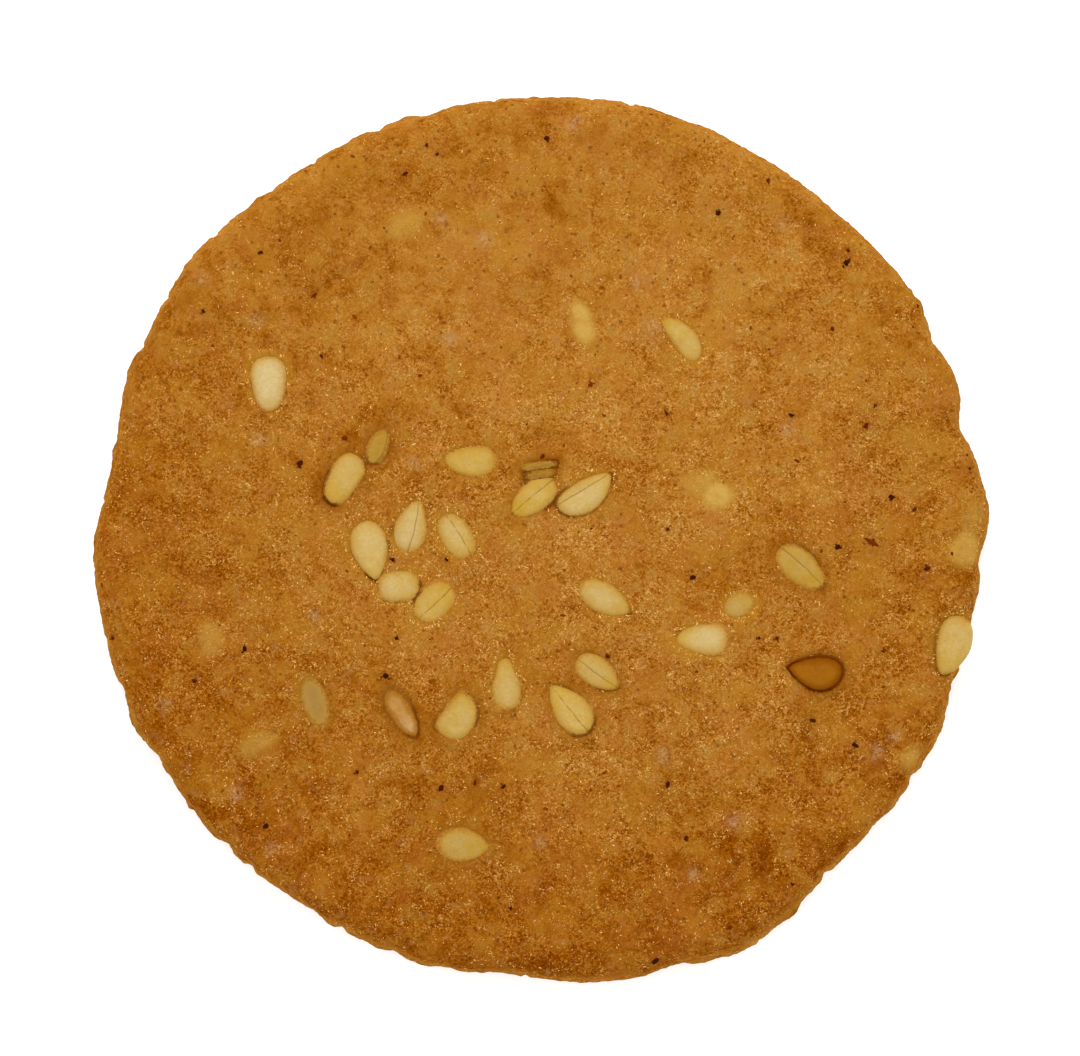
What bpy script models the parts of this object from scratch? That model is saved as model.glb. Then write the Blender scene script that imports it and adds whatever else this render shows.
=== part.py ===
"""A thin round caramel-brown sesame biscuit, 50 mm across, as one baked solid.

Dough was rolled flat, cut round by hand and baked on a sheet: the underside is flat, the cut
edge is a run of short straight facets, the top edge has rolled over in the oven, and the top
is a low crown with shallow dents. Units are metres, +Z is up, and the origin is at the middle
of the underside.
"""

from math import atan2, cos, degrees, exp, hypot, pi, radians, sin

import bmesh
import bpy
from mathutils import Vector, noise

MM = 0.001

# Driving dimensions.
MEAN_RADIUS = 24.85 * MM
EDGE_HEIGHT = 4.0 * MM
CROWN_HEIGHT = 0.55 * MM

# The underside's edge is a small round, the wall leans in slightly, and the top edge has
# rolled over into a wide, low shoulder.
FOOT_WIDTH = 0.5 * MM
FOOT_HEIGHT = 0.45 * MM
WALL_LEAN = 0.12 * MM
SHOULDER_WIDTH = 1.7 * MM
SHOULDER_HEIGHT = 1.35 * MM

# The hand-cut edge: each facet peaks at an angle in degrees, stands out by so many
# millimetres (in, where negative), and runs straight to nothing over a half-width in degrees.
FACETS = (
    (4, 0.42, 8),
    (15, -0.45, 4),
    (21.5, 0.28, 4),
    (27, -0.18, 3),
    (34, 0.26, 12),
    (48.5, -0.10, 2),
    (67, 0.12, 5),
    (78, 0.24, 11),
    (106, -0.10, 4),
    (121, -0.12, 9),
    (141, 0.36, 10),
    (169, -0.55, 10),
    (184, 0.28, 7),
    (194, 0.16, 8),
    (205, 0.14, 4),
    (218, -0.28, 11),
    (235, -0.48, 14),
    (249, -0.36, 9),
    (265, -0.50, 10),
    (282, 0.32, 9),
    (298, 0.90, 11),
    (314, -0.22, 6),
    (341, -0.42, 5),
    (350, -0.22, 4),
)

# Shallow dents (low swellings, where negative) in the top: centre in millimetres, depth and
# radius in millimetres.
DENTS = (
    (-9.0, 14.0, 0.10, 4.5),
    (11.0, 14.5, -0.08, 4.0),
    (-17.0, 4.0, 0.12, 4.0),
    (2.0, 2.0, -0.12, 6.0),
    (15.5, 5.0, 0.10, 4.5),
    (-14.0, -13.0, 0.12, 4.5),
    (0.5, -16.0, 0.12, 5.0),
    (14.0, -13.5, -0.08, 4.5),
)
RIPPLE_HEIGHT = 0.05 * MM
RIPPLE_LENGTH = 3.5 * MM

# How finely the solid is cut.
SEGMENTS = 192
FOOT_STEPS = 2
WALL_STEPS = 2
SHOULDER_STEPS = 4
TOP_SHARES = (0.94, 0.84, 0.70, 0.54, 0.37, 0.19)

CRUMB_COLOUR = (0.43, 0.16, 0.02, 1.0)
CRUMB_ROUGHNESS = 0.62


def clear_scene():
    for obj in list(bpy.data.objects):
        bpy.data.objects.remove(obj, do_unlink=True)


def ripple(x, y, z):
    """A smooth unevenness between -1 and 1 that repeats nowhere on the biscuit."""
    return noise.noise(Vector((x, y, z)) / RIPPLE_LENGTH)


def outline_radius(angle):
    """The edge's distance from the middle at an angle in radians."""
    radius = MEAN_RADIUS
    for peak, height, half_width in FACETS:
        away = abs((degrees(angle) - peak + 180) % 360 - 180)
        radius += height * MM * max(0.0, 1 - away / half_width)
    x, y = MEAN_RADIUS * cos(angle), MEAN_RADIUS * sin(angle)
    return radius + RIPPLE_HEIGHT * ripple(x, y, 0.0)


def top_height(x, y):
    """The top's height over the underside, inside the shoulder."""
    out = hypot(x, y) / MEAN_RADIUS
    height = EDGE_HEIGHT + CROWN_HEIGHT * (1 - out * out)
    for dent_x, dent_y, depth, radius in DENTS:
        away = hypot(x - dent_x * MM, y - dent_y * MM) / (radius * MM)
        height -= depth * MM * exp(-away * away)
    return height + RIPPLE_HEIGHT * ripple(x, y, MEAN_RADIUS)


def edge_profile():
    """(inset from the outline, height) of each ring, from the underside up to the shoulder."""
    profile = []
    for step in range(1, FOOT_STEPS + 1):
        turn = step / FOOT_STEPS * pi / 2
        profile.append((FOOT_WIDTH * (1 - sin(turn)), FOOT_HEIGHT * (1 - cos(turn))))
    wall_top = EDGE_HEIGHT - SHOULDER_HEIGHT
    for step in range(1, WALL_STEPS + 1):
        share = step / WALL_STEPS
        height = FOOT_HEIGHT + share * (wall_top - FOOT_HEIGHT)
        profile.append((WALL_LEAN * share, height))
    for step in range(1, SHOULDER_STEPS):
        turn = step / SHOULDER_STEPS * pi / 2
        inset = WALL_LEAN + (SHOULDER_WIDTH - WALL_LEAN) * (1 - cos(turn))
        profile.append((inset, wall_top + SHOULDER_HEIGHT * sin(turn)))
    return profile


def extrude_ring(mesh, edges, place):
    """Extrudes a ring of edges and moves each new corner to place(its angle)."""
    made = bmesh.ops.extrude_edge_only(mesh, edges=edges)["geom"]
    for vert in made:
        if isinstance(vert, bmesh.types.BMVert):
            vert.co = place(atan2(vert.co.y, vert.co.x))
    corners = {item for item in made if isinstance(item, bmesh.types.BMVert)}
    return [
        item
        for item in made
        if isinstance(item, bmesh.types.BMEdge) and corners.issuperset(item.verts)
    ]


def edge_point(angle, inset, height):
    radius = outline_radius(angle) - inset
    return Vector((radius * cos(angle), radius * sin(angle), height))


def top_point(angle, share):
    radius = share * (outline_radius(angle) - SHOULDER_WIDTH)
    x, y = radius * cos(angle), radius * sin(angle)
    return Vector((x, y, top_height(x, y)))


def build_biscuit():
    """Extrudes the underside's disc ring by ring, up the edge and in over the top."""
    mesh = bmesh.new()
    bmesh.ops.create_circle(mesh, cap_ends=True, segments=SEGMENTS, radius=MEAN_RADIUS)
    for vert in mesh.verts:
        vert.co = edge_point(atan2(vert.co.y, vert.co.x), FOOT_WIDTH, 0.0)
    ring = list(mesh.edges)
    for inset, height in edge_profile():
        ring = extrude_ring(mesh, ring, lambda angle: edge_point(angle, inset, height))
    for share in (1.0, *TOP_SHARES):
        ring = extrude_ring(mesh, ring, lambda angle: top_point(angle, share))
    bmesh.ops.contextual_create(mesh, geom=ring)
    caps = [face for face in mesh.faces if len(face.verts) == SEGMENTS]
    centres = bmesh.ops.poke(mesh, faces=caps)["verts"]
    crown = max(centres, key=lambda vert: vert.co.z)
    crown.co = Vector((0.0, 0.0, top_height(0.0, 0.0)))
    centre_on_origin(mesh)
    bmesh.ops.recalc_face_normals(mesh, faces=mesh.faces)
    return mesh


def centre_on_origin(mesh):
    """Slides the mesh sideways until its box is centred on the origin."""
    xs = [vert.co.x for vert in mesh.verts]
    ys = [vert.co.y for vert in mesh.verts]
    middle = Vector(((min(xs) + max(xs)) / 2, (min(ys) + max(ys)) / 2, 0.0))
    bmesh.ops.translate(mesh, verts=mesh.verts, vec=-middle)


def crumb_material():
    material = bpy.data.materials.new("baked_crumb")
    material.use_nodes = True
    shader = material.node_tree.nodes["Principled BSDF"]
    shader.inputs["Base Color"].default_value = CRUMB_COLOUR
    shader.inputs["Roughness"].default_value = CRUMB_ROUGHNESS
    shader.inputs["Metallic"].default_value = 0.0
    material.diffuse_color = CRUMB_COLOUR
    return material


def add_biscuit():
    data = bpy.data.meshes.new("cookie")
    mesh = build_biscuit()
    mesh.to_mesh(data)
    mesh.free()
    data.materials.append(crumb_material())
    data.shade_smooth()
    data.set_sharp_from_angle(angle=radians(50))
    biscuit = bpy.data.objects.new("cookie", data)
    bpy.context.collection.objects.link(biscuit)


clear_scene()
add_biscuit()
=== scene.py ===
from collections import namedtuple
from math import cos, hypot, pi, radians, sin

import bpy
import numpy as np
from mathutils import Euler, Matrix, Vector, noise
from mathutils.bvhtree import BVHTree


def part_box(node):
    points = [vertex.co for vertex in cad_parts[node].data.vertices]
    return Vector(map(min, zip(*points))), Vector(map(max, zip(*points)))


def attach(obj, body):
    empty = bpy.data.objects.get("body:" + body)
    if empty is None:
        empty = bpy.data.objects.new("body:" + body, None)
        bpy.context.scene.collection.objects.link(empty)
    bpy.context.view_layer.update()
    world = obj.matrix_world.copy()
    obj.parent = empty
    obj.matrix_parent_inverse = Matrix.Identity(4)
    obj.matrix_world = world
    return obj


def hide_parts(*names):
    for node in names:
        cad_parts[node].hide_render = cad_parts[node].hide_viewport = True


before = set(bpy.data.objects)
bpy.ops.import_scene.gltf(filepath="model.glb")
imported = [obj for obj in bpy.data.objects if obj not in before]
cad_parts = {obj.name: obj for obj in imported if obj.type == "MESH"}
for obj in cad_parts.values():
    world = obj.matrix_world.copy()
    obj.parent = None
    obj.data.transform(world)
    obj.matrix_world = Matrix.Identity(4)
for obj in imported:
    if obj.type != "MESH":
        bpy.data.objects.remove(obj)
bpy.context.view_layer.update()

# --------------------------------------
# The crust: the whole baked cookie outside. Rolled dough was cut round by hand and baked
# until the sugar in it browned, so the top is grained and gently uneven, it swells a little
# round each seed, and crumbs have broken out of the cut edge.
# --------------------------------------
MM = 0.001
GRID = 0.174 * MM
UNDERSIDE_SHARE_KEPT = 0.05

chance = np.random.default_rng(12)


def step_up(values, start, end):
    """0 before start, 1 after end, and a smooth rise in between."""
    share = np.clip((values - start) / (end - start), 0, 1)
    return share * share * (3 - 2 * share)


def only(piece):
    """Makes piece the only selected and the active object."""
    bpy.ops.object.select_all(action="DESELECT")
    piece.select_set(True)
    bpy.context.view_layer.objects.active = piece


def apply_modifier(piece, kind, **settings):
    only(piece)
    modifier = piece.modifiers.new(kind.title(), kind)
    for setting, value in settings.items():
        setattr(modifier, setting, value)
    bpy.ops.object.modifier_apply(modifier=modifier.name)


def places_of(piece):
    """The mesh's corners as an array of (x, y, z)."""
    places = np.empty(len(piece.data.vertices) * 3, np.float32)
    piece.data.vertices.foreach_get("co", places)
    return places.reshape(-1, 3).astype(np.float64)


def put_places(piece, places):
    piece.data.vertices.foreach_set("co", places.astype(np.float32).ravel())
    piece.data.update()


def mark(piece, name, chosen):
    """Puts the chosen corners in a vertex group; chosen holds one weight for each corner."""
    group = piece.vertex_groups.new(name=name)
    for level in range(1, 11):
        at_level = np.nonzero(np.round(chosen * 10).astype(int) == level)[0]
        group.add(at_level.tolist(), level / 10, "REPLACE")


crust = bpy.data.objects.new("crust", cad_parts["cookie"].data.copy())
bpy.context.collection.objects.link(crust)
crust.data.materials.clear()
only(crust)
bpy.ops.object.mode_set(mode="EDIT")
bpy.ops.mesh.select_all(action="SELECT")
bpy.ops.mesh.remove_doubles(threshold=0.001 * MM)
bpy.ops.object.mode_set(mode="OBJECT")
apply_modifier(crust, "REMESH", mode="VOXEL", voxel_size=GRID)

low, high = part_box("cookie")
places = places_of(crust)
flat_below = (places[:, 2] < low.z + 0.3 * GRID).astype(float)
mark(crust, "underside", flat_below)
faces_in_all = len(crust.data.polygons)
faces_below = flat_below.sum()
kept = 1 - faces_below * (1 - UNDERSIDE_SHARE_KEPT) / faces_in_all
apply_modifier(crust, "DECIMATE", ratio=kept, vertex_group="underside")

# The facets of the cut edge are softened, as the oven did, without touching the underside.
places = places_of(crust)
above = step_up(places[:, 2], low.z + 0.3 * MM, low.z + 0.8 * MM)
mark(crust, "above", above)
apply_modifier(crust, "SMOOTH", factor=0.5, iterations=6, vertex_group="above")

# Crumbs lost from the cut edge (or left on it, where positive): the place in degrees from
# +X, how far out in millimetres, and the half-width in degrees.
EDGE_CRUMBS = (
    (27, -0.14, 2), (31.7, 0.18, 1.6), (67.5, 0.06, 1.5), (78.5, -0.16, 1.2), (83.2, -0.12, 1),
    (96, -0.14, 0.8), (104.7, -0.14, 2.2), (107.3, 0.14, 1.8), (111.6, -0.18, 1.6),
    (114.2, 0.1, 1.6), (120.8, -0.14, 0.9), (127.5, -0.12, 0.8), (130.6, 0.06, 1),
    (136.8, -0.2, 1), (141, -0.12, 0.8), (147.2, -0.14, 0.9), (154.1, -0.16, 1), (156.8, 0.18, 3),
    (169, 0.14, 2.2), (174.8, -0.14, 0.8), (179.5, 0.1, 1.8), (183.8, -0.1, 0.8),
    (192.9, -0.1, 1.2), (199.5, -0.15, 1.8), (204, 0.12, 2.2), (207.1, -0.14, 0.6),
    (209.5, -0.2, 2.6), (213, -0.16, 2), (216.8, 0.14, 0.9), (220.8, 0.1, 2.5), (224.6, -0.3, 1.8),
    (228.4, -0.2, 1.6), (238.6, -0.2, 3), (242.8, -0.2, 1.4), (248.2, 0.14, 2.2),
    (250.5, -0.1, 2.2), (257.4, -0.22, 3), (267.8, -0.12, 0.8), (291, 0.28, 2.6), (294.8, 0.18, 3),
    (298.5, -0.16, 0.8), (304, 0.2, 1.8), (310.6, -0.28, 1.4), (319.6, -0.26, 2.8),
    (327.3, -0.18, 1.8), (333.6, 0.12, 4), (343.5, -0.2, 0.9), (357.4, -0.24, 3.8),
)
EDGE_BAND = 1.6 * MM
CROWN_ROOM = 0.14 * MM

places = places_of(crust)
bearing = np.degrees(np.arctan2(places[:, 1], places[:, 0]))
reach = np.hypot(places[:, 0], places[:, 1])
edge_reach = max(high.x, high.y)
change = np.zeros(len(places))
narrow = np.zeros(len(places))
for number, (where, out, half_width) in enumerate(EDGE_CRUMBS):
    wander = 0.35 * np.sin(places[:, 2] / (0.5 * MM) + 2.1 * number)
    away = np.abs((bearing - where + wander + 180) % 360 - 180)
    crumb = out * MM * (1 - step_up(away, 0, half_width))
    spread = 0.19 * half_width
    change += crumb
    narrow += crumb * (1 - spread / hypot(spread, 0.3))
fade = step_up(reach, edge_reach - 2 * EDGE_BAND, edge_reach - EDGE_BAND)
fade *= 1 - 0.7 * step_up(places[:, 2], 2.1 * MM, 3.0 * MM)
places[:, :2] *= (1 + fade * change / np.maximum(reach, MM))[:, None]
# The crown starts a little low, so that its grain and the seeds rise to its full height.
places[:, 2] -= CROWN_ROOM * step_up(places[:, 2], high.z - 1.0 * MM, high.z)
put_places(crust, places)


def roughen(piece, name, size, height, group, depth=1):
    """Raises and lowers the surface by a cloud pattern of that size."""
    pattern = bpy.data.textures.new(name, "CLOUDS")
    pattern.noise_scale = size
    pattern.noise_depth = depth
    pattern.noise_basis = "IMPROVED_PERLIN"
    apply_modifier(piece, "DISPLACE", texture=pattern, texture_coords="LOCAL", strength=height,
                   mid_level=0.5, vertex_group=group)


# The dough's own unevenness, coarse to fine.
normals = np.empty(len(places) * 3, np.float32)
crust.data.vertices.foreach_get("normal", normals)
facing_up = normals.reshape(-1, 3)[:, 2]
mark(crust, "top", step_up(facing_up, 0.2, 0.7))
mark(crust, "wall", above * step_up(-facing_up, -0.8, -0.3))
roughen(crust, "dough_swell", 3.6 * MM, 0.3 * MM, "top")
roughen(crust, "dough_lumps", 1.2 * MM, 0.16 * MM, "top")
roughen(crust, "dough_grain", 0.42 * MM, 0.14 * MM, "top", depth=2)
roughen(crust, "wall_crumb", 1.1 * MM, 0.24 * MM, "wall", depth=2)
roughen(crust, "wall_grain", 0.4 * MM, 0.22 * MM, "wall", depth=2)


def bump(distance, width):
    """A smooth hump: 1 at no distance, nearly nothing past 2 widths."""
    return np.exp(-((distance / width) ** 2))


# Small holes where crumbs broke away from the cut, and crumbs that stayed on it.
WALL_PITS = 420
DEEP_PIT = 0.12 * MM

places = places_of(crust)
inwards = places * (-1, -1, 0)
inwards /= np.maximum(np.hypot(places[:, 0], places[:, 1]), MM)[:, None]
on_wall = np.nonzero(above * step_up(-facing_up, -0.6, -0.1) > 0.3)[0]
pits = np.zeros(len(places))
for _ in range(WALL_PITS):
    middle = places[chance.choice(on_wall)]
    size = chance.uniform(0.12, 0.34) * MM
    stretched = (places[on_wall] - middle) * (1, 1, 1.6)
    dip = bump(np.linalg.norm(stretched, axis=1), size)
    depth = chance.choice((0.5, 0.35, -0.25)) * size
    pits[on_wall] += np.maximum(dip, 0) * depth
places += inwards * pits[:, None]
put_places(crust, places)

# Hulled sesame seeds were strewn on the dough and rolled in. Their places and sizes are in
# millimetres from the cookie's middle.
# tip: where the narrow end looks, in degrees from +X. taper: how much narrower that end is,
# and point: how sharp; neck: how far it is drawn in to a stalk. bend: how far both ends
# curl to the left of the tip. square: 2 for round ends, more for blunt ones. proud: how far
# its back stands out of the dough. pale: 0 yellow to 1 cream, and tip_pale: what the tip
# adds to that. veil: how far the dough on it dulls it. dusk: how much darker the dough round
# it is, partly browned and partly painted shade. crease: where its fold runs, from -1 to 1
# across. gaps: the cracks along its rim, darkened with painted shadow, as the way they look,
# their half-width in degrees, and their strength.
Seed = namedtuple(
    "Seed",
    "x y tip length width taper point neck bend square proud pale tip_pale veil dusk crease gaps",
    defaults=(0.1, 0.0, 0.0, 0.0, 2.0, 0.15, 0.5, -0.3, 0.0, 0.1, None, ()),
)
HULLED_SEEDS = (
    Seed(-15.25, 8.75, -89, 3.1, 2, taper=0.2, square=2.5, proud=0.2, pale=1, dusk=0),
    Seed(-11.05, 3.4, 240, 3.12, 1.8, taper=0.12, square=2.5, proud=0.22, pale=0.4, veil=0.1,
         dusk=0.9, gaps=((180, 45, 0.6), (238, 22, 1), (40, 15, 0.4))),
    Seed(-9.13, 5.2, 67, 2, 1.2, taper=0.12, proud=0.1, pale=0.1, veil=0.85, dusk=1,
         crease=-0.6, gaps=((245, 35, 0.6), (-20, 50, 0.3))),
    Seed(-9.55, -0.6, -78, 3.45, 2.1, taper=0.2, point=0.15, proud=0.24, pale=0.6, dusk=0.2,
         gaps=((-80, 24, 1), (20, 20, 0.5))),
    Seed(-7.28, 0.76, 74, 3.05, 1.9, taper=0.18, point=0.25, square=2.2, proud=0.14, pale=0.65,
         veil=0.05, dusk=0.2, crease=-0.3, gaps=((186, 16, 0.55),)),
    Seed(-4.75, 0.22, -58, 2.7, 1.77, taper=0, square=2.4, proud=0.12, pale=0.55, veil=0.1,
         crease=0.25),
    Seed(-7.95, -2.6, 4, 2.37, 1.78, taper=0, square=2.8, proud=0.18, pale=0.6, veil=0.05,
         dusk=0, gaps=((-15, 28, 1),)),
    Seed(-6, -3.5, 43, 2.7, 1.92, taper=-0.05, square=2.2, proud=0.1, pale=0.3, dusk=0.2,
         crease=-0.1, gaps=((160, 26, 0.8),)),
    Seed(-4, 4.43, 179, 2.9, 1.72, taper=0.18, point=0.15, bend=-0.06, square=2.3, proud=0.14,
         pale=0.25, veil=0.05, dusk=0.3),
    Seed(-0.43, 2.37, 219, 2.98, 1.82, point=0.15, square=2.4, proud=0.17, pale=0.25, dusk=0.5,
         crease=-0.12, gaps=((-18, 30, 0.9), (95, 40, 0.7))),
    Seed(2.5, 2.6, 33, 3.6, 1.88, taper=0.12, point=0.12, bend=0.12, proud=0.2, pale=0.6,
         crease=0.4, gaps=((205, 45, 0.7), (-50, 60, 0.3), (31, 10, 0.8))),
    Seed(3.6, -3.3, -29, 3.18, 1.76, point=0.1, veil=0.12, gaps=((-33, 10, 0.8),)),
    Seed(7.9, 11.28, 130, 3.05, 1.42, taper=0.2, bend=0.12, proud=0.14, pale=0.35, veil=0.05,
         dusk=0),
    Seed(14.55, -1.55, -42, 3.3, 1.88, point=0.1, proud=0.12, pale=0.25, veil=0.5, dusk=0.8,
         crease=0.15, gaps=((-42, 12, 0.6), (60, 60, 0.3))),
    Seed(11.08, -3.65, 25, 1.85, 1.42, taper=0, proud=0.08, pale=0.35, veil=0.4, dusk=0),
    Seed(8.98, -5.55, 178, 2.95, 1.7, taper=0.3, square=2.4, proud=0.12, pale=0.75, tip_pale=-0.8,
         dusk=0),
    Seed(23, -5.92, -107, 3.5, 1.96, taper=0.3, bend=-0.05, proud=0.3, pale=0.45, veil=0.1,
         gaps=((-108, 20, 0.4), (180, 50, 0.3))),
    Seed(3.17, -7.43, -37, 2.88, 1.72, taper=0.12, point=0.12, pale=0.4, veil=0.3, dusk=0.7,
         crease=-0.12, gaps=((-60, 40, 0.45),)),
    Seed(1.6, -9.43, 129, 3.4, 1.98, taper=0.22, point=0.16, proud=0.18, pale=0.35, dusk=0.45,
         crease=0.05, gaps=((-52, 38, 0.7), (100, 20, 0.4))),
    Seed(-1.95, -8, 95, 3, 1.7, taper=0, neck=0.38, square=3.2, proud=0.14, tip_pale=-0.5,
         veil=0.2),
    Seed(-4.68, -9.92, 56, 2.72, 1.94, taper=0.14, bend=0.12, square=2.6, pale=0.4, veil=0.1,
         dusk=0.7, gaps=((12, 40, 0.6), (200, 20, 0.4))),
    Seed(-12.65, -9.05, -72, 2.85, 1.52, taper=0.05, proud=0.07, veil=1.15, dusk=0.4),
    Seed(-4.3, -17.1, -4, 2.9, 1.86, taper=0.15, point=0.1, proud=0.1, pale=0.3, veil=0.45,
         dusk=0.6),
)
# A seed standing on its edge, which shows the two halves of its split hull.
EDGE_ON_SEEDS = (
    Seed(-0.08, 4.15, 8, 2.05, 0.54, taper=0, square=3, proud=0.17, pale=0.2, veil=1.3,
         dusk=1, gaps=((-81, 80, 1), (9, 30, 0.9), (99, 60, 0.2))),
    Seed(-0.08, 3.62, 8, 1.74, 0.6, taper=0, square=3, proud=0.16, pale=0, veil=1.6,
         dusk=1, gaps=((-81, 85, 1), (189, 30, 0.7))),
)
TOASTED_SEEDS = (
    Seed(15.35, -7.36, 175, 3.12, 1.96, taper=0.18, point=0.22, bend=-0.1, proud=0.14, pale=0,
         veil=1, dusk=0.8, gaps=((0, 180, 0.7), (172, 30, 1), (-80, 50, 0.9))),
    Seed(-7.8, -9.72, -58, 3.12, 1.4, taper=0.05, point=0.1, proud=0.1, pale=0.3, tip_pale=0.9,
         dusk=1, gaps=((0, 180, 0.3), (-20, 60, 0.7), (-60, 20, 0.8))),
)


def width_there(seed, along):
    """The seed's half-width at a share of its half-length, as a share of a ball's there."""
    stalk = 1 - seed.neck * step_up(along, -0.1, 0.55)
    sharp = np.clip(1 - along, 0.001, 2) ** (seed.point * (along > 0))
    size = np.clip(np.abs(along), 0, 0.995)
    blunt = (1 - size**seed.square) ** (1 / seed.square) / (1 - size**2) ** 0.5
    return (1 - seed.taper * along) * stalk * sharp * blunt


def curl(seed, along):
    """How far the seed's middle line lies to the left there, as a share of its half-width."""
    return seed.bend * (2 * along * along - 1)


def seed_distance(seed, spots):
    """How far spots lie outside a seed's outline (inside, where negative), and their
    bearings from its middle. Spots and distances are in metres."""
    offset = spots[:, :2] - np.array((seed.x, seed.y)) * MM
    turn = radians(seed.tip)
    along = offset @ (cos(turn), sin(turn)) / (seed.length / 2 * MM)
    across = offset @ (-sin(turn), cos(turn)) / (seed.width / 2 * MM)
    across -= curl(seed, np.clip(along, -1, 1))
    wide = width_there(seed, np.clip(along, -0.95, 0.97))
    share = np.maximum(np.hypot(along, across / wide), 0.01)
    reach = np.maximum(np.hypot(offset[:, 0], offset[:, 1]), 0.01 * seed.width / 2 * MM)
    return reach * (1 - 1 / share), np.arctan2(offset[:, 1], offset[:, 0])


def openness(seed, bearings):
    """How far a crack has opened along the seed's rim at those bearings, 0 to 1."""
    most = np.zeros(len(bearings))
    for way, spread, strength in seed.gaps:
        turned = np.abs((bearings - radians(way) + pi) % (2 * pi) - pi)
        closed = step_up(turned, 0.6 * radians(spread), 1.3 * radians(spread))
        most = np.maximum(most, strength * (1 - closed))
    return most


# The seeds' seats: the dough's top before they are pressed in gives each one's height.
before_seeds = BVHTree.FromObject(crust, bpy.context.evaluated_depsgraph_get())
SKY = high.z + 5 * MM


def dough_at(x, y, tree):
    """The dough's height and the way it faces at a place in millimetres."""
    hit, facing, _, _ = tree.ray_cast(Vector((x * MM, y * MM, SKY)), Vector((0, 0, -1)))
    if hit is None:
        return low.z, Vector((0, 0, 1))
    return hit.z, facing


def seat_height(seed):
    """The dough's mean height under a seed, so that one bump doesn't tip it."""
    turn = radians(seed.tip)
    heights = []
    for share in (-0.6, -0.3, 0.0, 0.3, 0.6):
        x = seed.x + cos(turn) * share * seed.length / 2
        y = seed.y + sin(turn) * share * seed.length / 2
        heights.append(dough_at(x, y, before_seeds)[0])
    return sum(heights) / len(heights)


ALL_SEEDS = HULLED_SEEDS + EDGE_ON_SEEDS + TOASTED_SEEDS
seats = {seed: seat_height(seed) for seed in ALL_SEEDS}

# The dough lies level along a seed's rim and is pressed down under it. It swells a little
# just outside, and has sunk where a crack opened.
FAR_FROM_SEEDS = 3 * MM
LEVEL_REACH = 0.4 * MM
PRESSED_DEPTH = 0.16 * MM
CRACK_DEPTH = 0.06 * MM

places = places_of(crust)
up = step_up(facing_up, 0.2, 0.7)
to_seed = np.full(len(places), FAR_FROM_SEEDS)
crack = np.zeros(len(places))
dusk = np.zeros(len(places))
lift = np.zeros(len(places))
for seed in ALL_SEEDS:
    outside, bearings = seed_distance(seed, places)
    near = outside < 1.5 * MM
    level = seats[seed] - places[:, 2]
    along_rim = 0.8 * bump(np.maximum(outside, 0), LEVEL_REACH)
    beneath = step_up(-outside, -0.05 * MM, 0.25 * MM)
    pressed = np.minimum(level - PRESSED_DEPTH, 0)
    lift += near * up * (along_rim * level * (1 - beneath) + beneath * pressed)
    lift += near * up * 0.05 * MM * bump(outside - 0.3 * MM, 0.2 * MM)
    open_here = openness(seed, bearings) * near * up
    lift -= CRACK_DEPTH * open_here * bump(outside - 0.08 * MM, 0.14 * MM)
    below = np.clip(seats[seed] - 0.4 * MM - places[:, 2], 0, None)
    distance = np.where(below > 0, np.hypot(np.maximum(outside, 0), below), outside)
    crack = np.where(distance < to_seed, open_here, crack)
    dusk = np.where(distance < to_seed, seed.dusk, dusk)
    to_seed = np.minimum(distance, to_seed)

# Folds of dough squeezed up between seeds (and hollows, where negative): x, y, the way they
# lie, length, width and height.
WRINKLES = (
    (1.8, 3.1, -60, 1.2, 0.6, 0.14), (-1.9, 4.3, 5, 1.4, 0.5, 0.06),
    (-8.3, 3.6, 40, 1.8, 0.9, 0.07), (-12.3, 3.4, 70, 2.6, 0.9, -0.1),
    (-10.4, 6.2, 60, 1.6, 0.7, -0.08), (-6.3, -8.6, 60, 2.4, 1, -0.08),
    (2.9, -10.9, 35, 2.6, 0.8, 0.08), (16.2, 0.4, -40, 3.2, 1.4, -0.08),
    (0.3, 5.4, 0, 4.4, 1.6, -0.1), (-6.6, -5.4, -20, 3, 1.4, 0.05),
    (10.6, -1.6, 20, 3.6, 1.6, -0.07), (-3.9, -14.5, 10, 4.2, 1.6, -0.09),
    (18.9, -12.6, -30, 2.4, 0.9, 0.1), (-11.3, 14.7, 34, 3.8, 0.6, -0.12),
    (-4.9, 7.9, -65, 2.6, 0.5, -0.08), (13.4, 12.9, 20, 3, 0.6, -0.06),
    (6.5, -18, 10, 4, 0.8, -0.07),
)
hollow = np.zeros(len(places))
for x, y, lies, length, width, height in WRINKLES:
    ridge = Seed(x, y, lies, length, width, taper=0.0)
    outside, _ = seed_distance(ridge, places)
    shape = up * step_up(-outside, -0.2 * MM, 0.5 * width * MM)
    lift += height * MM * shape
    hollow += max(-height, 0) / 0.1 * shape

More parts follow.
